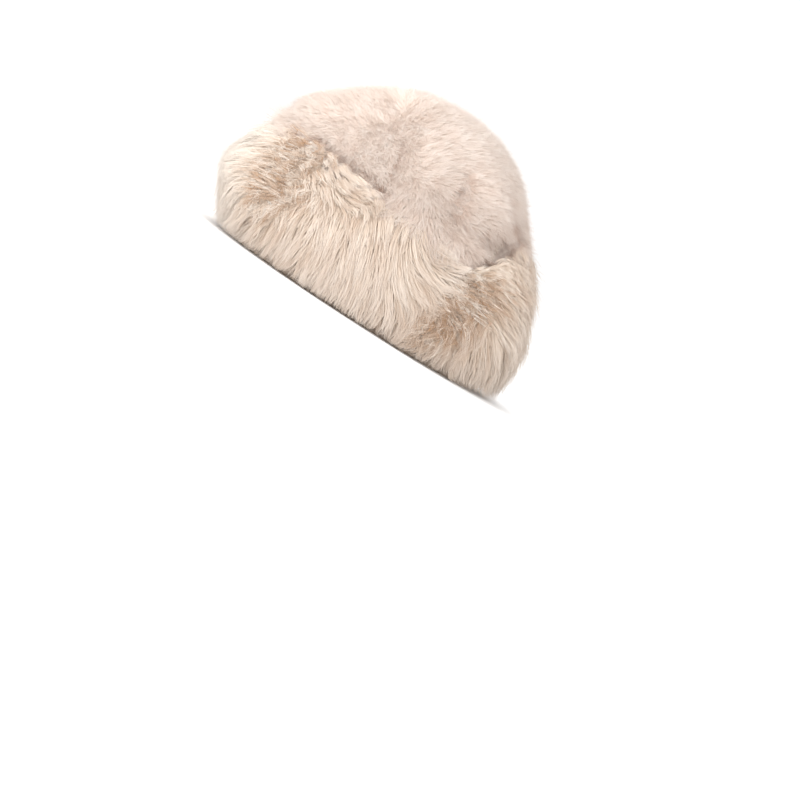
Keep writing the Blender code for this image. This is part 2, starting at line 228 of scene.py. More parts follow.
# How the long pile lies at marks on the cuff, seen from the wearer's left: a mark's distance behind the
# middle and its height in millimetres, the lay in degrees, how far the points stand off the cuff's face and
# how loosely in millimetres, and shares of curl, shade (0 tan, 1 pale), length and drawing together
CUFF_MARKS = (
    # The front's shades above 1 are pale fur and partly painted highlight, where the front is brightest
    (-143, 44, -20, -5, 2.4, 0.1, 1.1, 0.9, 0.1),
    (-142, 64, -25, -4.5, 2.4, 0.1, 1.15, 0.9, 0.1),
    (-134, 18, -8, -6, 2.6, 0.1, 1, 0.9, 0.2),
    (-132, 86, -60, -2, 2.4, 0.1, 1.25, 0.9, 0.1),
    (-130, 51, -64, -3, 2.4, 0.1, 1.05, 1, 0.15),
    (-123, 84, -80, -5, 2.4, 0.1, 1.15, 1, 0.15),
    (-119, 35, -52, -2, 2.2, 0.1, 0.95, 1, 0.2),
    (-109, 13, -22, -1.5, 2.2, 0.1, 0.9, 1, 0.4),
    (-97, 27, -22, 1, 0.9, 0.1, 0.8, 1, 0.4),
    (-115, 54, -58, -0.5, 2.4, 0.15, 1.05, 0.7, 0.15),
    (-116, 74, -66, -1, 2.4, 0.15, 1.05, 0.7, 0.15),
    (-114, 92, -85, -1, 2, 0.2, 1.05, 0.7, 0.15),
    (-97, 64, -45, 1.5, 1.6, 1.1, 0.42, 0.28, 0.4),
    (-92, 46, -20, 1.5, 1.6, 1.1, 0.42, 0.3, 0.4),
    (-94, 84, -60, 1.5, 1.6, 1.1, 0.42, 0.28, 0.4),
    (-84, 62, 30, 1.5, 1.6, 1, 0.45, 0.3, 0.4),
    (-86, 84, 60, 1.5, 1.6, 0.9, 0.5, 0.35, 0.4),
    (-73, 79, 45, 2, 1, 0.45, 0.75, 0.65, 0.6),
    (-67, 41, 20, 1, 0.9, 0.2, 0.75, 1, 0.4),
    (-58, 28, -5, 0.5, 0.9, 0.1, 0.7, 1, 0.4),
    (-50, 79, 58, 1.5, 1, 0.33, 0.72, 0.65, 0.7),
    (-45, 50, 23, 0.5, 0.9, 0.1, 0.7, 1, 0.4),
    (-35, 85, 93, 1.5, 1, 0.25, 0.75, 0.6, 0.8),
    (-24, 17, 3, 0.5, 0.9, 0.1, 0.8, 1, 0.4),
    (-10, 54, 21, 0.5, 0.9, 0.1, 0.75, 1, 0.35),
    (-7, 72, 23, 0.5, 0.9, 0.1, 0.7, 1, 0.35),
    (8, 30, 16, 0.5, 0.9, 0.1, 0.75, 1, 0.35),
    (14, 54, 20, 0.5, 0.9, 0.1, 0.75, 1, 0.35),
    (12, 74, 22, 0.5, 0.9, 0.1, 0.75, 1, 0.35),
    (30, 6, -2, 0.5, 0.9, 0.1, 0.8, 1, 0.6),
    (38, 30, 45, 1, 0.9, 0.2, 0.65, 1, 0.6),
    (34, 71, 48, 0.5, 0.9, 0.2, 0.7, 1, 0.4),
    (51, 52, 60, 1, 0.9, 0.3, 0.6, 0.75, 0.6),
    (52, 73, 95, 2, 0.7, 0.1, 0.9, 0.5, 0.8),
    (63, 77, 108, 3, 0.7, 0.1, 0.95, 0.45, 0.9),
    (73, 82, 135, 3, 0.7, 0.1, 1, 0.4, 0.9),
    (81, 91, 155, 2, 0.7, 0.1, 0.9, 0.35, 0.9),
    (68, 18, -27, 1, 0.9, 0.2, 0.75, 1, 0.9),
    (72, 34, -10, 1, 1.6, 1.2, 0.2, 0.35, 0.3),
    (69, 60, 40, 1.5, 1.6, 1.2, 0.25, 0.3, 0.3),
    (77, 47, 10, 1.5, 1.6, 1.2, 0.15, 0.3, 0.3),
    (83, 69, 60, 1.5, 1.6, 1.2, 0.15, 0.3, 0.3),
    (92, 76, 70, 1, 1.6, 1, 0.35, 0.35, 0.4),
    (78, 4, -7, 1, 0.9, 0.1, 0.75, 1, 0.9),
    (90, 24, 5, 1, 0.9, 0.2, 0.75, 0.9, 0.9),
    (94, 50, -10, 1, 1.3, 0.4, 0.45, 0.8, 0.7),
    (106, 72, 85, -1.5, 2, 0.3, 0.7, 0.7, 0.3),
    (108, 29, 28, -1.5, 2, 0.2, 0.75, 1, 0.9),
    (113, 2, 15, -1.5, 2.4, 0.1, 0.75, 1, 0.9),
    (96, 92, 60, -2, 2, 0.2, 0.6, 0.5, 0.2),
    (103, 102, 40, -2.5, 2, 0.2, 0.65, 0.5, 0.2),
    (119, 55, 80, -1.5, 3, 0.2, 0.75, 1, 0.4),
    (130, 24, 45, -1.5, 3, 0.1, 0.75, 1, 0.6),
    (136, 62, 35, -1.5, 3, 0.1, 0.75, 1, 0.3),
    (134, 4, 10, -1.5, 3, 0.1, 0.75, 1, 0.7),
)
CUFF_MARK_SPREAD = 13.0

# How far above the solid's top edge the long pile is rooted: distances behind the middle and rises, both in
# millimetres
PILE_RISES = (
    (-140, -105, -90, -65, -45, -27, -10, 50, 70, 84, 92, 102, 140),
    (1, 3, 11, 12, 9, 6, 0, 0, -2, 0, 6, 10, 10),
)

# The short pile at marks on the crown: the same places and lay, the lift off the hat in degrees, and shares
# of curl, shade and length
CROWN_MARKS = (
    (-105, 100, -67, 35, 0.3, 0.6, 1),
    (-88, 117, -77, 35, 0.4, 0.6, 0.9),
    (-64, 140, -77, 35, 0.4, 0.7, 0.9),
    (-72, 158, -57, 35, 0.3, 0.8, 0.9),
    (-54, 156, -57, 50, 1, 0.65, 0.55),
    (-68, 112, 3, 46, 0.9, 0.62, 0.55),
    (-45, 128, 30, 48, 1, 0.75, 0.55),
    (-36, 107, 83, 45, 0.6, 0.85, 0.9),
    (-39, 170, 143, 40, 0.4, 0.75, 1),
    (-25, 119, 23, 40, 0.4, 0.8, 0.8),
    (-28, 150, 60, 50, 1, 0.85, 0.55),
    (-15, 161, 131, 35, 0.3, 0.7, 1),
    (12, 162, 118, 35, 0.3, 0.8, 1),
    (-5, 132, 115, 35, 0.4, 0.7, 1),
    (32, 147, 111, 35, 0.3, 0.7, 1),
    (2, 95, 8, 35, 0.4, 0.6, 1),
    (18, 96, 15, 35, 0.4, 0.6, 1),
    (47, 87, 23, 35, 0.4, 0.6, 1),
    (59, 119, 119, 32, 0.2, 0.7, 1),
    (66, 90, 28, 32, 0.3, 0.5, 1),
    (81, 104, 73, 35, 0.3, 0.5, 1),
    (87, 126, 31, 32, 0.2, 0.6, 1),
    (57, 158, 63, 38, 0.3, 0.8, 1),
    (35, 177, 78, 40, 0.3, 0.9, 1),
    (0, 179, 103, 42, 0.3, 0.9, 1),
    (-40, 178, 160, 42, 0.3, 0.8, 1),
)
CROWN_MARK_SPREAD = 14.0

# Creases in the crown, seen from the wearer's left: both ends' distance behind the middle and height, the
# crease's half width and depth, all in millimetres, and how much darker the pile is painted in it, as painted
# shade
CROWN_CREASES = (
    (-92, 98, -60, 97, 1.8, 2.2, 0.5),
    (-60, 97, -18, 96, 2.2, 3, 0.7),
    (-28, 134, -20, 106, 2, 2, 0.6),
    (25, 138, 30, 127, 3, 2, 0.35),
    (30, 127, 37, 107, 3.5, 2.5, 0.35),
    (60, 148, 80, 128, 3.5, 1.5, 0.15),
    (80, 128, 91, 121, 3.5, 2, 0.25),
    (74, 88, 84, 102, 2.5, 3.5, 0.5),
    (84, 102, 90, 120, 3, 3.5, 0.35),
    (43, 105, 84, 108, 4, 1.5, 0.1),
)


def corners_of(node):
    """A CAD node's triangles, as triangles by corners by axes."""
    mesh = node.data
    places = np.empty(len(mesh.vertices) * 3)
    mesh.vertices.foreach_get("co", places)
    mesh.calc_loop_triangles()
    which = np.empty(len(mesh.loop_triangles) * 3, np.int32)
    mesh.loop_triangles.foreach_get("vertices", which)
    return places.reshape(-1, 3)[which].reshape(-1, 3, 3)


def crossings(start, directions, triangles):
    """How far rays from one point run to the nearest and to the farthest triangle that each one crosses.

    A ray start + s * way crosses the triangle with corner c and sides e and f where start + s * way
    = c + u * e + v * f, with u, v and 1 - u - v at least 0 and s above 0. The three numbers come from
    triple products. A ray that crosses nothing gives infinity and minus infinity.
    """
    corner = triangles[:, 0]
    first = triangles[:, 1] - corner
    second = triangles[:, 2] - corner
    across = np.cross(directions[:, None], second[None])
    away = start - corner
    turned = np.cross(away, first)
    with np.errstate(divide="ignore", invalid="ignore"):
        share = 1 / (first * across).sum(2)
        u = (away * across).sum(2) * share
        v = (directions @ turned.T) * share
        s = (second * turned).sum(1) * share
        met = (u >= -RAY_SLACK) & (v >= -RAY_SLACK) & (u + v <= 1 + RAY_SLACK) & (s > 0)
    return np.where(met, s, np.inf).min(1), np.where(met, s, -np.inf).max(1)


def smoothed(rows, passes, width=1):
    """Rows round the hat after passes of a 1-2-1 mean, along each row and from row to row."""
    for _ in range(passes):
        for _ in range(width):
            rows = (np.roll(rows, 1, 1) + 2 * rows + np.roll(rows, -1, 1)) / 4
        padded = np.concatenate((rows[:1], rows, rows[-1:]))
        rows = (padded[:-2] + 2 * rows + padded[2:]) / 4
    return rows


def unit(vectors):
    """Vectors of length 1."""
    return vectors / np.maximum(np.linalg.norm(vectors, axis=-1, keepdims=True), 1e-12)


def ripple(places, length, seed, waves=12):
    """A smooth random number at each place, from about -1 to 1.

    It is the sum of sine waves with random directions and phases, 0.7 to 1.4 of the length long.
    """
    chance = np.random.default_rng(seed)
    ways = unit(chance.normal(size=(waves, 3)))
    ways *= FULL_TURN / (length * chance.uniform(0.7, 1.4, waves))[:, None]
    phases = chance.uniform(0, FULL_TURN, waves)
    return np.sin(places @ ways.T + phases).sum(1) / (1.4 * math.sqrt(waves / 2))


def evenly_spread(count):
    """Points spread evenly over a square, from the whole numbers times EVEN_ROUND and EVEN_UP."""
    index = np.arange(count)
    return (0.5 + index * EVEN_ROUND) % 1, (0.5 + index * EVEN_UP) % 1


def scattered(chance, amounts, measure):
    """Random numbers as large as the first amount, and larger by the second for each unit of a measure."""
    return (amounts[0] + amounts[1] * measure) * chance.normal(size=len(measure))


def in_disc(chance, radius, count):
    """Two numbers for each random place in a disc."""
    reach = radius * np.sqrt(chance.uniform(0, 1, count))
    angle = chance.uniform(0, FULL_TURN, count)
    return reach * np.stack((np.cos(angle), np.sin(angle)))


def strand_radii(chance, width, shares, stray):
    """Strands' radii, at random shares of a width's half, and strays' smaller ones."""
    return width / 2 * chance.uniform(*shares, len(stray)) * np.where(stray > 0, STRAY_WIDTH, 1)


def at(grid, row, azimuth):
    """A grid's values at fractional rows and at azimuths, by straight-line mixing between its points."""
    row = np.clip(row, 0, len(grid) - 1.000001)
    column = (azimuth / FULL_TURN * grid.shape[1]) % grid.shape[1]
    low, left = row.astype(int), column.astype(int) % grid.shape[1]
    up, along = row - low, column - np.floor(column)
    right = (left + 1) % grid.shape[1]
    if grid.ndim == 3:
        up, along = up[..., None], along[..., None]
    lower = grid[low, left] * (1 - along) + grid[low, right] * along
    upper = grid[low + 1, left] * (1 - along) + grid[low + 1, right] * along
    return lower * (1 - up) + upper * up


def facing_out(points):
    """Unit normals of a grid of points, from the differences to their neighbours."""
    round_hat = np.roll(points, -1, 1) - np.roll(points, 1, 1)
    upwards = np.gradient(points, axis=0)
    return unit(np.cross(round_hat, upwards))


def read_marks(marks, spread, places):
    """The marks' values at places on the hat, both sides alike.

    Each mark counts by exp(-(distance / spread)^2), distances being seen from the side, and the weights
    of all marks sum to 1. Lays are mixed as arrows. The last number is how far the arrows agree, 0 to 1.
    """
    marks, seen = np.array(marks), places[:, 1:] / MILLIMETRE
    gap = ((seen[:, None] - marks[:, :2]) ** 2).sum(2)
    weight = np.exp((gap.min(1, keepdims=True) - gap) / spread**2)
    weight /= weight.sum(1, keepdims=True)
    lay = np.radians(marks[:, 2])
    rearward, down = weight @ np.sin(lay), weight @ np.cos(lay)
    values = weight @ marks[:, 3:]
    return np.arctan2(rearward, down), values[:, 0], values[:, 1:], np.hypot(rearward, down)


def read_creases(places):
    """How deep a place lies in the crown's creases, in metres, and how much painted shade darkens its pile
    there.

    Each crease counts by exp(-(distance / half width)^2) from its line, seen from the side.
    """
    seen = places[:, 1:] / MILLIMETRE
    depth, painted_crease_shade = np.zeros(len(places)), np.zeros(len(places))
    for *ends, half_width, deep, painted_darkness in CROWN_CREASES:
        first, second = np.array(ends[:2]), np.array(ends[2:])
        share = np.clip((seen - first) @ (second - first) / ((second - first) ** 2).sum(), 0, 1)
        gap = np.linalg.norm(seen - first - share[:, None] * (second - first), axis=1)
        weight = np.exp(-((gap / half_width) ** 2))
        depth += deep * MILLIMETRE * weight
        painted_crease_shade += painted_darkness * weight
    return depth, painted_crease_shade


# The crown's two faces and the cuff's face, read off the CAD solids

crown_low, crown_high = (np.array(corner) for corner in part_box("crown"))
MIDDLE_X, MIDDLE_Y = (crown_low[:2] + crown_high[:2]) / 2
AZIMUTHS = np.arange(RAY_SIDES) * FULL_TURN / RAY_SIDES
LEVEL_WAYS = np.stack((np.sin(AZIMUTHS), -np.cos(AZIMUTHS), np.zeros(RAY_SIDES)), 1)


def middles(heights):
    """A point of the hat's middle line for each row."""
    return np.array([(MIDDLE_X, MIDDLE_Y, height) for height in heights])[:, None]


def crown_faces():
    """The crown's inner and outer face as grids from the rim to the apex.

    The low rows are level rays from the middle line, and the high rows are rays from one point of it that
    rise to straight up.
    """
    triangles = corners_of(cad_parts["crown"])
    levels = np.linspace(RIM_HEIGHT, CROWN_CENTRE_HEIGHT, CROWN_LOW_ROWS)
    starts = middles([*levels, *[CROWN_CENTRE_HEIGHT] * (CROWN_HIGH_ROWS - 1)])
    rises = np.linspace(0, math.pi / 2, CROWN_HIGH_ROWS)[1:]
    rises = np.append(np.zeros(CROWN_LOW_ROWS), rises)[:, None, None]
    ways = LEVEL_WAYS * np.cos(rises) + np.array((0, 0, 1)) * np.sin(rises)
    reaches = [crossings(start, way, triangles) for start, way in zip(starts, ways)]
    reaches = np.array(reaches)[..., None]
    return [starts + ways * smoothed(reaches[:, face], FACET_SMOOTHING) for face in (0, 1)]


def level_reaches(name, heights):
    """How far level rays from the hat's middle line run out to a solid's face, at each height."""
    triangles = corners_of(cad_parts[name])
    lows, highs = triangles[..., 2].min(1), triangles[..., 2].max(1)
    reaches = np.full((len(heights), RAY_SIDES), -np.inf)
    for row, level in enumerate(np.maximum(heights, RIM_HEIGHT)):
        near = triangles[(lows <= level) & (highs >= level)]
        if len(near):
            reaches[row] = crossings(np.array((MIDDLE_X, MIDDLE_Y, level)), LEVEL_WAYS, near)[1]
    return reaches


def cuff_faces():
    """The cuff's face and the crown's behind it as grids of level rows, and the height of the cuff's edge.

    Above that edge the cuff's face goes on at CUFF_LIP from the crown, so that pile can lie across it.
    """
    heights = np.arange(0, CUFF_ROW_TOP, CUFF_ROW_STEP)
    cuff_reach, crown_reach = (level_reaches(name, heights) for name in ("cuff", "crown"))
    there = np.isfinite(cuff_reach)
    edge = heights[len(heights) - 1 - np.argmax(there[::-1], 0)]
    face = smoothed(np.where(there, cuff_reach, crown_reach + CUFF_LIP), LOCK_SMOOTHING, ROUND_SMOOTHING)
    crown_reach = smoothed(crown_reach, FACET_SMOOTHING)
    face = np.maximum(face, crown_reach + CUFF_LIP_LEAST)
    edge = smoothed(np.tile(edge, (3, 1)), EDGE_SMOOTHING)[1]
    middle = middles(heights)
    return middle + LEVEL_WAYS * face[..., None], middle + LEVEL_WAYS * crown_reach[..., None], edge


crown_inside, crown_face = crown_faces()
crown_facing = facing_out(crown_face)
crown_facing[-1] = (0, 0, 1)
unfolded = smoothed(crown_face, RELIEF_SMOOTHING, ROUND_SMOOTHING)
crown_relief = ((crown_face - unfolded) * crown_facing).sum(2)
crown_relief -= crown_relief.mean(1, keepdims=True)
crown_relief[-RELIEF_FADE_ROWS:] *= np.linspace(1, 0, RELIEF_FADE_ROWS)[:, None]
crown_sunk = read_creases(crown_face.reshape(-1, 3))[0].reshape(crown_relief.shape)
crown_shaped = crown_face + crown_facing * (FOLD_GAIN * crown_relief - crown_sunk)[..., None]
shaped_facing = facing_out(crown_shaped)
shaped_facing[-1] = (0, 0, 1)
cuff_face, behind_cuff, cuff_edge = cuff_faces()
cuff_facing = facing_out(cuff_face)
cuff_depth = np.linalg.norm(cuff_face - behind_cuff, axis=2)


def edge_at(azimuth):
    """The height of the cuff's top edge."""
    return np.interp(azimuth, AZIMUTHS, cuff_edge, period=FULL_TURN)


def azimuth_of(places):
    """The azimuths of places on the hat."""
    return np.arctan2(places[..., 0] - MIDDLE_X, MIDDLE_Y - places[..., 1]) % FULL_TURN


# Making meshes


def add_object(name, data):
    """A new object of the scene."""
    made = bpy.data.objects.new(name, data)
    bpy.context.scene.collection.objects.link(made)
    return made


def new_piece(name, places, faces, material):
    """A smooth piece of the hat from its points and its list of faces."""
    mesh = bpy.data.meshes.new(name)
    mesh.from_pydata(places.tolist(), [], faces)
    mesh.shade_smooth()
    return finish_piece(name, mesh, material)


def finish_piece(name, mesh, material):
    """A mesh's object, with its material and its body."""
    mesh.materials.append(material)
    piece = add_object(name, mesh)
    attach(piece, "root")
    return piece


def ring_faces(rows, columns, closed):
    """Quads between neighbouring rows of points that run round, and if closed from the last to the first."""
    row, column = np.meshgrid(np.arange(rows if closed else rows - 1), np.arange(columns), indexing="ij")
    after, right = (row + 1) % rows * columns, (column + 1) % columns
    row = row * columns
    return np.stack((row + column, row + right, after + right, after + column), -1).reshape(-1, 4)


def strand_mesh(name, paths, outward, radius, shares, shade):
    """Closed strands with three sides, each along a path to its point.

    The ring at a place of the path is centre + radius * share * (cos t * side + sin t * up) for each t of
    RING_TURNS, with up cut to STRAND_FLATNESS. Side is the path's direction crossed with the way out of the
    hat, and up is across both, so that the side between the first two corners faces outwards. The shares
    belong to the last places before the point: a first place without one makes the root a point, else it is
    cut square. An outward side's shading normal leans from its own to the way out by NORMAL_BLEND, for the
    soft shading of the whole form. The map OFBake runs from the root to the point along u, and holds the
    strand's shade along v.
    """
    count, last, rings = paths.shape[0], paths.shape[1] - 1, len(shares)
    pointed = last - rings
    along = unit(np.gradient(paths, axis=1))[:, pointed:last]
    outward = unit(outward)
    side = unit(np.cross(along, outward[:, pointed:last]))
    up = np.cross(side, along)
    turn = np.radians(RING_TURNS)[:, None]
    ring = side[:, :, None] * np.cos(turn) + up[:, :, None] * (STRAND_FLATNESS * np.sin(turn))
    ring = ring * (radius[:, None, None, None] * np.array(shares)[:, None, None])
    ring = paths[:, pointed:last, None] + ring
    places = np.concatenate((paths[:, :pointed], ring.reshape(count, rings * 3, 3), paths[:, -1:]), 1)

    def corner(ring, number):
        """A ring's corner, as (vertex, share of the length, how far round the strand)."""
        return pointed + 3 * ring + number % 3, (pointed + ring) / last, number

    faces, sides = [], []
    if not pointed:
        faces.append((corner(0, 0), corner(0, 1), corner(0, 2)))
        sides.append(3)
    for number in range(3):
        if pointed:
            faces.append(((0, 0, number + 0.5), corner(0, number), corner(0, number + 1)))
            sides.append(number)
        for low in range(rings - 1):
            faces.append((corner(low, number), corner(low + 1, number + 1), corner(low, number + 1)))
            faces.append((corner(low, number), corner(low + 1, number), corner(low + 1, number + 1)))
            sides += [number, number]
        tip = (pointed + rings * 3, 1, number + 0.5)
        faces.append((corner(rings - 1, number), tip, corner(rings - 1, number + 1)))
        sides.append(number)
    marks = np.array(faces, float)
    faces = marks[:, :, 0].astype(int)
    vertices = places.reshape(-1, 3)
    index = (faces[None] + (np.arange(count) * places.shape[1])[:, None, None]).reshape(-1)
    mesh = bpy.data.meshes.new(name)
    mesh.vertices.add(len(vertices))
    mesh.vertices.foreach_set("co", vertices.astype(np.float32).ravel())
    mesh.loops.add(len(index))
    mesh.loops.foreach_set("vertex_index", index.astype(np.int32))
    mesh.polygons.add(len(index) // 3)
    mesh.polygons.foreach_set("loop_start", np.arange(0, len(index), 3, dtype=np.int32))
    mesh.update(calc_edges=True)
    mesh.shade_smooth()
    layer = mesh.uv_layers.new(name="OFBake")
    u = np.broadcast_to(MAP_MARGIN_U + (1 - 2 * MAP_MARGIN_U) * marks[:, :, 1], (count, *marks.shape[:2]))
    v = MAP_MARGIN_V + (1 - 2 * MAP_MARGIN_V) * np.clip(shade / SHADE_MOST, 0, 1)
    v = v[:, None, None] + MAP_SIDE * (marks[:, :, 2] - 1.5)
    layer.data.foreach_set("uv", np.stack((u, v), -1).astype(np.float32).ravel())
    mesh.validate()
    first, second, third = (places[:, faces[:, number]] for number in range(3))
    own = np.repeat(unit(np.cross(second - first, third - first))[:, :, None], 3, 2)
    facing = (np.array(sides) == 0)[None, :, None, None]
    blend = np.where(facing, NORMAL_BLEND, FLANK_BLEND)
    stations = np.rint(marks[:, :, 1] * last).astype(int)
    lean = side[:, np.clip(stations - pointed, 0, rings - 1)] * (1 - 2 * marks[:, :, 2])[None, :, :, None]
    normals = unit(blend * outward[:, stations] + (1 - blend) * own + NORMAL_ROUND * facing * lean)
    given = mesh.attributes.new("custom_normal", "FLOAT_VECTOR", "CORNER")
    given.data.foreach_set("vector", normals.astype(np.float32).ravel())
    sharp = mesh.attributes.new("sharp_edge", "BOOLEAN", "EDGE")
    sharp.data.foreach_set("value", np.ones(len(mesh.edges), bool))
    return mesh


# Materials

NUMBER = "NodeSocketFloat"
COLOUR = "NodeSocketColor"


def feed(tree, socket, value):
    """Set a socket to a value, or link it to the socket that the value is."""
    if isinstance(value, bpy.types.NodeSocket):
        tree.links.new(value, socket)
    else:
        socket.default_value = value


def add_node(tree, kind, inputs=(), **settings):
    """A shader node with its settings, and its inputs set or linked by name or number."""
    made = tree.nodes.new(kind)
    for name, value in settings.items():
        setattr(made, name, value)
    for name, value in dict(inputs).items():
        feed(tree, made.inputs[name], value)
    return made


def maths(tree, operation, *values):
    """The socket of a sum, a product or another function of the values."""
    return add_node(tree, "ShaderNodeMath", enumerate(values), operation=operation).outputs[0]


def mix_colours(tree, share, first, second, blend="MIX"):
    """The socket of a mix of two colours, each a socket or red, green and blue."""
    made = add_node(tree, "ShaderNodeMix", data_type="RGBA", blend_type=blend)
    for number, value in ((0, share), (6, first), (7, second)):
        feed(tree, made.inputs[number], (*value, 1.0) if isinstance(value, tuple) else value)
    return made.outputs[2]


def ease(tree, value, low, high, to_low=0.0, to_high=1.0):
    """The socket of a value eased from one range to another."""
    inputs = enumerate((value, low, high, to_low, to_high))
    return add_node(tree, "ShaderNodeMapRange", inputs, interpolation_type="SMOOTHSTEP").outputs[0]


def add_bump(tree, shader, height, strength, distance):
    """Small relief on a material, by a bump of its normals."""
    bump = add_node(tree, "ShaderNodeBump", {"Height": height, "Strength": strength, "Distance": distance})
    tree.links.new(bump.outputs[0], shader.inputs["Normal"])


def new_group(name, inputs, outputs):
    """An empty node group with sockets for its numbers and colours, and its two end nodes."""
    tree = bpy.data.node_groups.new(name, "ShaderNodeTree")
    for way, sockets in (("INPUT", inputs), ("OUTPUT", outputs)):
        for label, kind in sockets.items():
            tree.interface.new_socket(name=label, in_out=way, socket_type=kind)
    return tree, tree.nodes.new("NodeGroupInput").outputs, tree.nodes.new("NodeGroupOutput").inputs


def strand_colour_group():
    """The colour and roughness of a strand, from its root to its point, and from tan to a pale colour that is
    partly painted highlight.
    """
    inputs = {"Along": NUMBER, "Shade": NUMBER}
    inputs.update(dict.fromkeys(("Root", "Length", "Point", "Tan", "Bleached"), COLOUR))
    tree, given, made = new_group("strand_colour", inputs, {"Colour": COLOUR, "Roughness": NUMBER})
    lower = mix_colours(tree, ease(tree, given["Along"], 0.0, 0.55), given["Root"], given["Length"])
    whole = mix_colours(tree, ease(tree, given["Along"], 0.45, 1.0), lower, given["Point"])
    # paler where the shade is high: pale fur, and on the front partly painted highlight
    paler = mix_colours(tree, ease(tree, given["Shade"], 0.7, 0.97), whole, given["Bleached"])
    tint = mix_colours(tree, ease(tree, given["Shade"], 0.0, 0.8), given["Tan"], (1.0, 1.0, 1.0))
    tree.links.new(mix_colours(tree, 1.0, paler, tint, "MULTIPLY"), made["Colour"])
    tree.links.new(ease(tree, given["Along"], 0.1, 1.0, 0.85, 0.6), made["Roughness"])
    return tree


def new_material(name, finish):
    """A material with its node tree and its shader, which has the finish."""
    material = bpy.data.materials.new(name)
    material.use_nodes = True
    shader = material.node_tree.nodes["Principled BSDF"]
    for label, value in finish.items():
        shader.inputs[label].default_value = value
    return material, material.node_tree, shader


def strand_material(name, group, **colours):
    """The material of loose strands: the strand colours by the map along each one, with a soft sheen."""
    material, tree, shader = new_material(name, STRAND_FINISH)
    place = add_node(tree, "ShaderNodeUVMap", uv_map="OFBake").outputs[0]
    parts = add_node(tree, "ShaderNodeSeparateXYZ", {0: place}).outputs
    inputs = {"Along": parts[0], "Shade": parts[1]}
    inputs.update((label.capitalize(), (*colour, 1.0)) for label, colour in colours.items())
    strand = add_node(tree, "ShaderNodeGroup", inputs, node_tree=group)
    tree.links.new(strand.outputs["Colour"], shader.inputs["Base Color"])
    tree.links.new(strand.outputs["Roughness"], shader.inputs["Roughness"])
    return material


def pile_base_group():
    """The colour and height of the dense short hairs at the base of a pile, by noise at two scales."""
    inputs = {"Tuft size": NUMBER, "Deep": COLOUR, "Raised": COLOUR}
    tree, given, made = new_group("pile_base", inputs, {"Colour": COLOUR, "Height": NUMBER})
    place = add_node(tree, "ShaderNodeTexCoord").outputs["Object"]
    scale = maths(tree, "DIVIDE", 1.0, given["Tuft size"])
    finer = maths(tree, "MULTIPLY", scale, 5.0)
    tufts = add_node(tree, "ShaderNodeTexNoise", {"Vector": place, "Scale": scale, "Detail": 3.0}).outputs[0]
    hairs = add_node(tree, "ShaderNodeTexNoise", {"Vector": place, "Scale": finer, "Detail": 2.0}).outputs[0]
    shade = ease(tree, maths(tree, "ADD", tufts, hairs), 0.7, 1.3)
    tree.links.new(mix_colours(tree, shade, given["Deep"], given["Raised"]), made["Colour"])
    tree.links.new(shade, made["Height"])
    return tree


def base_material(name, group, tuft_size, deep, raised, painted_foot_shade=None):
    """The material of the fur below its loose strands, with painted shade darkening its foot near the floor
    if a foot colour is given.
    """
    material, tree, shader = new_material(name, BASE_FINISH)
    inputs = {"Tuft size": tuft_size, "Deep": (*deep, 1.0), "Raised": (*raised, 1.0)}
    base = add_node(tree, "ShaderNodeGroup", inputs, node_tree=group).outputs
    colour = base["Colour"]
    if painted_foot_shade:
        place = add_node(tree, "ShaderNodeTexCoord").outputs["Object"]
        height = add_node(tree, "ShaderNodeSeparateXYZ", {0: place}).outputs[2]
        # painted shade: the base darkens towards the floor, under the fringe
        colour = mix_colours(tree, ease(tree, height, FOOT_RISE, FOOT_SHADE_TOP), painted_foot_shade, colour)
    tree.links.new(colour, shader.inputs["Base Color"])
    add_bump(tree, shader, base["Height"], 0.8, 0.0015)
    return material


def backing_material():
    """The knitted back of the fur cloth, round the inside: columns of small loops, BACKING_STITCH apart.

    Their height is sin(rows + BACKING_SLANT * cos(turns)) + cos(turns), with a full turn for each loop.
    """
    material, tree, shader = new_material("knitted_backing", BACKING_FINISH)
    place = add_node(tree, "ShaderNodeTexCoord").outputs["Object"]
    axes = add_node(tree, "ShaderNodeSeparateXYZ", {0: place}).outputs
    rate = FULL_TURN / BACKING_STITCH
    turns = maths(tree, "MULTIPLY", maths(tree, "ARCTAN2", axes[0], axes[1]), round(rate * BACKING_RADIUS))
    rows = maths(tree, "MULTIPLY", axes[2], rate)
    across = maths(tree, "COSINE", turns)
    along = maths(tree, "SINE", maths(tree, "MULTIPLY_ADD", across, BACKING_SLANT, rows))
    height = ease(tree, maths(tree, "ADD", along, across), -1.6, 1.6)
    worn = add_node(tree, "ShaderNodeTexNoise", {"Vector": place, "Scale": 35.0, "Detail": 3.0}).outputs[0]
    thread = mix_colours(tree, height, (0.55, 0.45, 0.36), (0.80, 0.71, 0.61))
    faded = mix_colours(tree, ease(tree, worn, 0.35, 0.7), (0.90, 0.88, 0.86), (1.0, 1.0, 1.0))
    tree.links.new(mix_colours(tree, 1.0, thread, faded, "MULTIPLY"), shader.inputs["Base Color"])
    add_bump(tree, shader, height, 0.7, 0.0006)
    return material


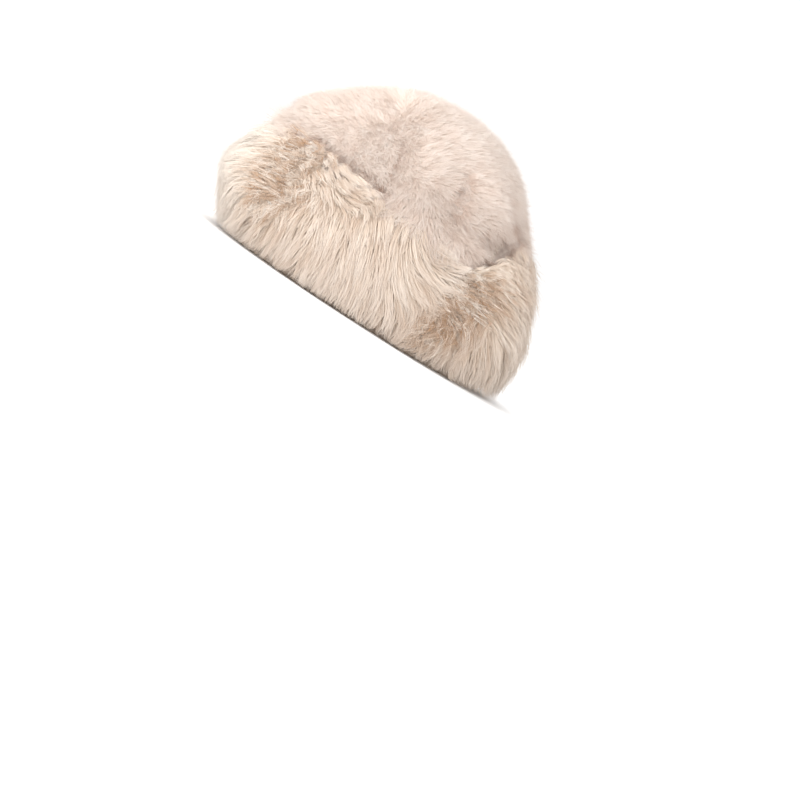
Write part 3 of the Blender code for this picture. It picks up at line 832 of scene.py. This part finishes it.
strand_group = strand_colour_group()
base_group = pile_base_group()
long_pile = strand_material(
    "long_pile_strands",
    strand_group,
    root=(0.81, 0.67, 0.55),
    length=(0.83, 0.71, 0.60),
    point=(0.88, 0.79, 0.71),
    tan=(0.56, 0.40, 0.28),
    bleached=(0.88, 0.80, 0.72),
)
short_pile = strand_material(
    "short_pile_strands",
    strand_group,
    root=(0.79, 0.65, 0.56),
    length=(0.83, 0.72, 0.64),
    point=(0.88, 0.79, 0.73),
    tan=(0.58, 0.42, 0.34),
    bleached=(0.87, 0.79, 0.73),
)
long_base = base_material(
    "long_pile_base",
    base_group,
    tuft_size=0.004,
    deep=(0.80, 0.65, 0.53),
    raised=(0.88, 0.75, 0.63),
    # the painted shade of the foot under the fringe
    painted_foot_shade=(0.66, 0.53, 0.43),
)
backing = backing_material()
short_base = base_material(
    "short_pile_base",
    base_group,
    tuft_size=0.003,
    deep=(0.79, 0.65, 0.57),
    raised=(0.87, 0.75, 0.67),
)


# The crown's pelt and its short pile


def crown_inset(places):
    """How deep the base of the short pile lies under the crown's face: nothing where the cuff covers it."""
    above = places[..., 2] - (edge_at(azimuth_of(places)) - CROWN_HIDDEN - CROWN_DEPTH_EASE)
    return CROWN_PILE_DEPTH * np.clip(above / CROWN_DEPTH_EASE, 0, 1)


def make_crown_pelt():
    """The crown's pelt: one closed shell from its apex down its base, round the rim and up its inner face."""
    inset = crown_inset(crown_face)[..., None]
    outer = np.where(inset > 0, crown_shaped, crown_face) - crown_facing * inset
    rims = np.stack((outer[0], crown_inside[0]))
    rims[..., 2] = crown_low[2]
    rows = np.concatenate((outer[-2::-1], rims, crown_inside[:-1]))
    poles = np.stack((outer[-1].mean(0), crown_inside[-1].mean(0)))
    places = np.concatenate((rows.reshape(-1, 3), poles))
    quads = ring_faces(len(rows), RAY_SIDES, False)[:, ::-1]
    column = np.arange(RAY_SIDES)
    right = (column + 1) % RAY_SIDES
    top, last = len(places) - 2, (len(rows) - 1) * RAY_SIDES
    outer_cap = np.stack((np.full(RAY_SIDES, top), column, right), 1)
    inner_cap = np.stack((np.full(RAY_SIDES, top + 1), last + right, last + column), 1)
    faces = quads.tolist() + outer_cap.tolist() + inner_cap.tolist()
    piece = new_piece("crown_pelt", places, faces, short_base)
    piece.data.materials.append(backing)
    inside = np.repeat(np.arange(len(rows) - 1) >= len(crown_face), RAY_SIDES)
    inside = np.concatenate((inside, np.zeros(RAY_SIDES), np.ones(RAY_SIDES)))
    piece.data.polygons.foreach_set("material_index", inside.astype(np.int32))
    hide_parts("crown")


def turned(vectors, axes, angles):
    """Vectors turned by angles about unit axes that are square to them."""
    return vectors * np.cos(angles)[..., None] + np.cross(axes, vectors) * np.sin(angles)[..., None]


def grow_crown():
    """The short pile's paths, ways out, shades and radii.

    Tufts' roots are spread evenly over the crown's area. A strand runs straight from its root by
    length * (cos lift * lay + sin lift * out), and strands of a tuft draw together towards its middle.
    """
    chance = np.random.default_rng(CROWN_SEED)
    cell = np.cross(np.roll(crown_face, -1, 1) - crown_face, np.gradient(crown_face, axis=0))
    cell = np.linalg.norm(cell, axis=2).sum(1)
    grown = np.append(0, np.cumsum((cell[1:] + cell[:-1]) / 2))
    lowest = grown[CROWN_PILE_ROW] / grown[-1]
    u, v = evenly_spread(int(CROWN_TUFTS / (1 - lowest)))
    row = np.interp((lowest + (1 - lowest) * v) * grown[-1], grown, np.arange(len(grown)))
    azimuth = u * FULL_TURN
    root = at(crown_face, row, azimuth)
    kept = root[:, 2] > edge_at(azimuth_of(root)) - CROWN_HIDDEN
    row, azimuth, root = row[kept], azimuth[kept], root[kept]
    out = unit(at(shaped_facing, row, azimuth))

    # The tufts' lay, as a way along the crown, and their lift
    lay, lift, values, agree = read_marks(CROWN_MARKS, CROWN_MARK_SPREAD, root)
    lift = np.radians(CROWN_LIFT * lift)
    curl, shade, length = values.T
    lay = lay + CROWN_LAY_WAVES * ripple(root, length=0.022, seed=3)
    lay = lay + curl * CROWN_CURL_WAVES * ripple(root, length=0.007, seed=4)
    lift = lift + CROWN_LIFT_WAVES * ripple(root, length=0.012, seed=5) + CROWN_WHORL_LIFT * (1 - agree)
    way = np.stack((np.zeros(len(root)), np.sin(lay), -np.cos(lay)), 1)
    way = unit(way - (way * out).sum(1, keepdims=True) * out + 1e-6)
    way = turned(way, out, CROWN_LAY_SCATTER * chance.normal(size=len(root)))
    side = np.cross(out, way)

    # Each strand's place in its tuft, length, lay and lift
    total = len(root) * CROWN_TUFT_STRANDS
    tuft = np.repeat(np.arange(len(root)), CROWN_TUFT_STRANDS)
    across, along = in_disc(chance, CROWN_TUFT_SPREAD, total)
    off = across[:, None] * side[tuft] + along[:, None] * way[tuft]
    above = root[:, 2] - edge_at(azimuth_of(root)) - DRAPE_ABOVE
    drape = np.interp(root[:, 1] / MILLIMETRE, *DRAPES) * np.exp(-((above / DRAPE_SPREAD) ** 2))
    size = CROWN_LENGTH * (length * (1 + DRAPE_LONGER * drape))[tuft] * chance.uniform(*CROWN_LENGTHS, total)
    own_lift = lift[tuft] + scattered(chance, CROWN_STRAND_LIFT, curl[tuft])
    own_way = turned(way[tuft], out[tuft], scattered(chance, CROWN_STRAND_LAY, curl[tuft]))
    stray = (chance.uniform(0, 1, total) < CROWN_STRAY_SHARE) * chance.uniform(0, 1, total)
    own_lift = own_lift + CROWN_STRAY_LIFT * stray
    size = size * (1 + CROWN_STRAY_LONGER * stray)

    sunk, painted_crease_shade = read_creases(root)
    shade = 1 - CROWN_SHADE_SHARE + CROWN_SHADE_SHARE * shade + scattered(chance, CROWN_TUFT_SHADE, curl)
    # painted shade: the pile is darker in the creases
    shade = shade + CROWN_SHADE_WAVES * ripple(root, length=0.014, seed=6) - painted_crease_shade
    stand = FOLD_GAIN * at(crown_relief, row, azimuth) - crown_inset(root) - CROWN_ROOT_DEPTH - sunk
    start = (root + out * (stand + DRAPE_RISE * drape)[:, None])[tuft]
    reach = np.cos(own_lift)[:, None] * own_way + np.sin(own_lift)[:, None] * out[tuft]
    point = start + size[:, None] * reach + off * (1 - CROWN_GATHER)
    paths = np.stack((start + off, point), 1)
    outs = np.repeat(out[tuft][:, None], 2, 1)
    radius = strand_radii(chance, CROWN_STRAND_WIDTH, CROWN_WIDTHS, stray)
    return paths, outs, shade[tuft] + scattered(chance, CROWN_STRAND_SHADE, curl[tuft]), radius


def make_crown_pile():
    """The crown's short pile in two pieces, the lower half of its tufts' numbers and the upper one."""
    paths, out, shade, radius = grow_crown()
    half = len(paths) // 2
    for number, part in enumerate((slice(0, half), slice(half, None)), 1):
        name = f"crown_pile_{number}"
        mesh = strand_mesh(name, paths[part], out[part], radius[part], (1.0,), shade[part])
        finish_piece(name, mesh, short_pile)


# The cuff's pelt and its long pile


def make_cuff_pelt():
    """The cuff's pelt: a closed ring from its foot up its base to the top edge and down behind it.

    A section's outer points lie at shares of the edge's height, CUFF_PILE_DEPTH inside the cuff's face and
    FOOT_RECESS more at the floor, and its inner points lie CUFF_FIT off the crown.
    """
    shares = np.linspace(0, 1, CUFF_PELT_ROWS)
    azimuth = np.tile(AZIMUTHS, (len(shares), 1))
    height = shares[:, None] * edge_at(AZIMUTHS)
    row = height / CUFF_ROW_STEP
    face, behind = at(cuff_face, row, azimuth), at(behind_cuff, row, azimuth)
    outward = unit(face - behind)
    depth = np.linalg.norm(face - behind, axis=2)
    recess = FOOT_RECESS * np.clip(1 - height / FOOT_RISE, 0, 1) ** FOOT_EASE
    thick = depth - np.minimum(CUFF_PILE_DEPTH, CUFF_PILE_SHARE * depth) - recess
    outer = behind + outward * np.maximum(thick, CUFF_THINNEST)[..., None]
    inner = behind + outward * CUFF_FIT
    rows = np.concatenate((outer, inner[::-CUFF_BACK_STRIDE], inner[:1]))
    rows[0, :, 2] = rows[-1, :, 2] = 0
    faces = ring_faces(len(rows), RAY_SIDES, True).tolist()
    piece = new_piece("cuff_pelt", rows.reshape(-1, 3), faces, long_base)
    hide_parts("cuff")


def on_cuff(azimuth, height, outset):
    """Points at an outset from the cuff's face."""
    row = height / CUFF_ROW_STEP
    return at(cuff_face, row, azimuth) + unit(at(cuff_facing, row, azimuth)) * outset[..., None]


def follow_lay(azimuth, height, deep, stand, length, tuft_lay):
    """Tufts' middle lines, as places by azimuth, height and outset by tufts.

    A line starts deep below the cuff's face and rises to its stand by 1 - (1 - share) ^ POINT_EASE of the
    way, while it follows the lay along the face.
    """
    risen = 1 - (1 - np.linspace(0, 1, LINE_STEPS + 1)) ** POINT_EASE
    step = length / LINE_STEPS
    a, z, w = azimuth, height, -deep
    places = [(a, z, w)]
    for climbed in np.diff(risen):
        here = on_cuff(a, z, w)
        lay, _, values, _ = read_marks(CUFF_MARKS, CUFF_MARK_SPREAD, here)
        lay = lay + tuft_lay + CUFF_LAY_WANDER * ripple(here, length=0.02, seed=31)
        lay = lay + values[:, 1] * ripple(here, length=0.009, seed=32)
        side = np.tanh(np.sin(a) / MIDDLE_SOFTNESS)
        lay = np.arctan2(side * np.sin(lay), np.cos(lay) + 1 - np.abs(side))
        climb = (stand + deep) * climbed
        level = np.sqrt(np.maximum(step**2 - climb**2, (LEVEL_LEAST * step) ** 2))
        reach = np.hypot(here[:, 0] - MIDDLE_X, here[:, 1] - MIDDLE_Y)
        a = a + np.sin(lay) * level / reach
        z = z - np.cos(lay) * level
        w = w + climb
        places.append((a, z, w))
    return np.array(places)


def laid_on_floor(paths):
    """Paths raised off the floor, and pushed out from the hat by as much as they are raised.

    A height z becomes clear + soft * ln(1 + e ^ ((z - clear) / soft)), where clear is FLOOR_CLEAR and soft is
    FLOOR_SOFTNESS.
    """
    over = (paths[..., 2] - FLOOR_CLEAR) / FLOOR_SOFTNESS
    raised = FLOOR_CLEAR + FLOOR_SOFTNESS * np.logaddexp(0, over)
    outward = unit((paths - np.array((MIDDLE_X, MIDDLE_Y, 0))) * np.array((1, 1, 0)))
    paths = paths + outward * (raised - paths[..., 2])[..., None]
    paths[..., 2] = raised
    return paths


def grow_cuff():
    """The long pile's paths, ways out, shades, radii and root azimuths.

    A tuft's strands start round its middle line, follow it and draw together. In the curls they part into
    locks, which bend and swing as one.
    """
    chance = np.random.default_rng(CUFF_SEED)
    tufts = CUFF_TUFTS + FRONT_TUFTS
    index = np.arange(tufts)
    u, v = evenly_spread(tufts)
    azimuth = np.where(index < CUFF_TUFTS, u, (u - 0.5) * FRONT_PART) % 1 * FULL_TURN
    on_face = np.zeros(tufts)
    edge = edge_at(azimuth)
    behind = on_cuff(azimuth, edge, on_face)[:, 1] / MILLIMETRE
    edge = edge + np.interp(behind, *PILE_RISES) * MILLIMETRE
    height = ROOT_LOWEST + (edge + ROOT_HIGHEST - ROOT_LOWEST) * v
    root = on_cuff(azimuth, height, on_face)
    deep = ROOT_DEEPEST * at(cuff_depth, height / CUFF_ROW_STEP, azimuth)
    deep = np.minimum(CUFF_PILE_DEPTH + ROOT_DEPTH, deep)
    _, stand, values, _ = read_marks(CUFF_MARKS, CUFF_MARK_SPREAD, root)
    loose, curl, shade, length, gather = values.T
    loose = loose * MILLIMETRE
    stand = stand * MILLIMETRE + scattered(chance, TUFT_STAND, loose)
    length = CUFF_LENGTH * length * chance.uniform(*CUFF_LENGTHS, tufts)
    length = length * np.where(edge - height < EDGE_REACH, chance.uniform(*EDGE_LENGTHS, tufts), 1)
    tuft_lay = CUFF_LAY_WANDER * chance.normal(size=tufts)
    line = follow_lay(azimuth, height, deep, stand, length, tuft_lay)

    # Each strand's place in its tuft and its lock
    total = tufts * CUFF_TUFT_STRANDS
    tuft = np.repeat(index, CUFF_TUFT_STRANDS)
    lock = np.arange(total) // CUFF_LOCK_STRANDS
    locks = lock[-1] + 1
    locked = np.clip(LOCK_RATE * (curl - LOCK_CURL), 0, 1)[tuft]
    own = in_disc(chance, CUFF_TUFT_SPREAD, total)
    shared = CUFF_TUFT_SPREAD * chance.uniform(-LOCK_SPREAD, LOCK_SPREAD, (2, locks))[:, lock]
    off_a, off_z = own * (1 - LOCK_HOLD * locked) + shared * locked
    off_w = scattered(chance, STRAND_STAND, loose[tuft])

    # Its length, which in the fringe ends at a ragged height above the floor
    own_length = chance.uniform(*STRAND_LENGTHS, total)
    tip = line[-1, 1, tuft]
    ragged = ripple(root, length=0.03, seed=35) + chance.normal(size=tufts)
    lowest = FRINGE_HEIGHT + FRINGE_RAGGED * (ragged[tuft] + FRINGE_STRAND * chance.normal(size=total))
    longer = chance.uniform(0, 1, total) < FRINGE_LONG
    lowest = np.where(longer, FRINGE_HEIGHT * chance.uniform(*FRINGE_LOWER, total), lowest)
    fall = np.maximum(height[tuft] - tip, 1e-4)
    own_length *= np.where(tip < lowest, np.clip((height[tuft] - lowest) / fall, FRINGE_SHORTEST, 1), 1)

    # Its bend, its swing, how far it stands off as a stray, and how far it draws in
    bend = BEND * chance.normal(size=(2, total))
    bend_a, bend_z = bend + LOCK_BEND * locked * chance.normal(size=(2, locks))[:, lock]
    phase = chance.uniform(0, FULL_TURN, locks)[lock] + SWING_SCATTER * chance.normal(size=total)
    often = (STRAY_SHARE + STRAY_LOOSE * loose / MILLIMETRE)[tuft]
    stray = (chance.uniform(0, 1, total) < often) * STRAY_RISE * chance.uniform(*STRAY_RISES, total)
    draw = (gather * chance.uniform(*GATHERS, tufts))[tuft]
    least = FRINGE_GATHER * np.minimum(gather[tuft] / FRINGE_GATHER_AT, 1)
    draw = np.where(tip < FRINGE_TOP, np.maximum(draw, least), draw)
    points, outs = [], []
    for t in CUFF_STATIONS:
        place = t * own_length * LINE_STEPS
        low = np.minimum(place.astype(int), LINE_STEPS - 1)
        part = (place - low)[:, None]
        a, z, w = (line[low, :, tuft] * (1 - part) + line[low + 1, :, tuft] * part).T
        apart = 1 - draw * t**GATHER_EASE
        wave = BEND_MIDDLE * math.sin(math.pi * t) + BEND_POINT * t
        swing = SWING * curl[tuft] * np.sin(SWING_RATE * t + phase) * min(SWING_ONSET * t, 1)
        a = a + (off_a * apart + bend_a * wave + swing) / CUFF_RADIUS
        z = z + (off_z * apart + bend_z * wave)
        points.append(on_cuff(a, z, w + off_w * t + stray * t**STRAY_EASE))
        outs.append(unit(at(cuff_facing, z / CUFF_ROW_STEP, a)))
    paths, outs = laid_on_floor(np.stack(points, 1)), np.stack(outs, 1)

    shade = shade + CUFF_SHADE_WAVES * ripple(root, length=0.012, seed=34)
    shade = (shade + TUFT_SHADE * chance.normal(size=tufts))[tuft]
    shade = shade + LOCK_SHADE * locked * chance.normal(size=locks)[lock]
    shade = shade + STRAND_SHADE * chance.normal(size=total)
    radius = strand_radii(chance, CUFF_STRAND_WIDTH, CUFF_WIDTHS, stray)
    return paths, outs, shade, radius, azimuth[tuft]


def make_cuff_pile():
    """The cuff's long pile in four pieces, by the quarter of the hat that its roots are in."""
    paths, out, shade, radius, azimuth = grow_cuff()
    quarter = ((azimuth + math.pi / 4) // (math.pi / 2)).astype(int) % 4
    for number, side in enumerate(("front", "left", "back", "right")):
        name, part = f"cuff_pile_{side}", quarter == number
        mesh = strand_mesh(name, paths[part], out[part], radius[part], STATION_WIDTHS, shade[part])
        finish_piece(name, mesh, long_pile)


make_crown_pelt()
make_crown_pile()
make_cuff_pelt()
make_cuff_pile()


# The studio

FLOOR_REACH = 12.0

# Soft round lights: place, the height on the hat's middle line that each one faces, width and power
LIGHTS = {
    "key": ((1.3, -1.4, 0.9), 0.08, 1.8, 12),
    "fill": ((1.7, 0.5, 0.25), 0.04, 1.2, 4.5),
    "top": ((0.2, -0.6, 1.8), 0.08, 1.4, 17),
}
WORLD_STRENGTH = 1.09

# The camera looks at the hat from the wearer's left, and leans as the photograph does
CAMERA_DISTANCE = 2.6
CAMERA_RISE = math.radians(4)
CAMERA_LEAN = math.radians(33)
CAMERA_AIM = Vector((0.0, 0.0771, -0.0378))
CAMERA_FARTHEST = 60
PICTURE_WIDTH = 0.624  # what the picture spans at the aim
SENSOR = 36  # millimetres, as Blender gives lenses


def make_floor():
    """A plain pale floor that reaches far past the hat."""
    mesh = bpy.data.meshes.new("floor")
    corners = [(x * FLOOR_REACH, y * FLOOR_REACH, 0.0) for x, y in ((-1, -1), (1, -1), (1, 1), (-1, 1))]
    mesh.from_pydata(corners, [], [(0, 1, 2, 3)])
    mesh.materials.append(new_material("pale_floor", FLOOR_FINISH)[0])
    floor = add_object("floor", mesh)


def make_light(name, place, height, width, power):
    """A soft round light that faces a point of the hat's middle line."""
    light = bpy.data.lights.new(name, "AREA")
    light.shape = "DISK"
    light.size = width
    light.energy = power
    made = add_object(name, light)
    made.location = place
    made.rotation_mode = "QUATERNION"
    made.rotation_quaternion = (Vector((0, 0, height)) - Vector(place)).to_track_quat("-Z", "Y")


def make_world():
    """Even white light from all round."""
    world = bpy.data.worlds.new("studio")
    world.use_nodes = True
    background = world.node_tree.nodes["Background"]
    background.inputs["Color"].default_value = (1.0, 1.0, 1.0, 1.0)
    background.inputs["Strength"].default_value = WORLD_STRENGTH
    bpy.context.scene.world = world


def make_camera():
    """The camera at CAMERA_DISTANCE from its aim, CAMERA_RISE above it and leaning by CAMERA_LEAN."""
    camera = bpy.data.cameras.new("camera")
    camera.sensor_width = SENSOR
    camera.lens = SENSOR * CAMERA_DISTANCE / PICTURE_WIDTH
    camera.clip_end = CAMERA_FARTHEST
    back = Vector((math.cos(CAMERA_RISE), 0, math.sin(CAMERA_RISE)))
    level = Vector((0, 1, 0))
    upright = back.cross(level)
    right = math.cos(CAMERA_LEAN) * level + math.sin(CAMERA_LEAN) * upright
    up = back.cross(right)
    made = add_object("camera", camera)
    place = CAMERA_AIM + back * CAMERA_DISTANCE
    made.matrix_world = Matrix.Translation(place) @ Matrix((right, up, back)).transposed().to_4x4()
    bpy.context.scene.camera = made


make_floor()
for name, light in LIGHTS.items():
    make_light(name, *light)
make_world()
make_camera()
bpy.context.scene.view_settings.view_transform = "Standard"
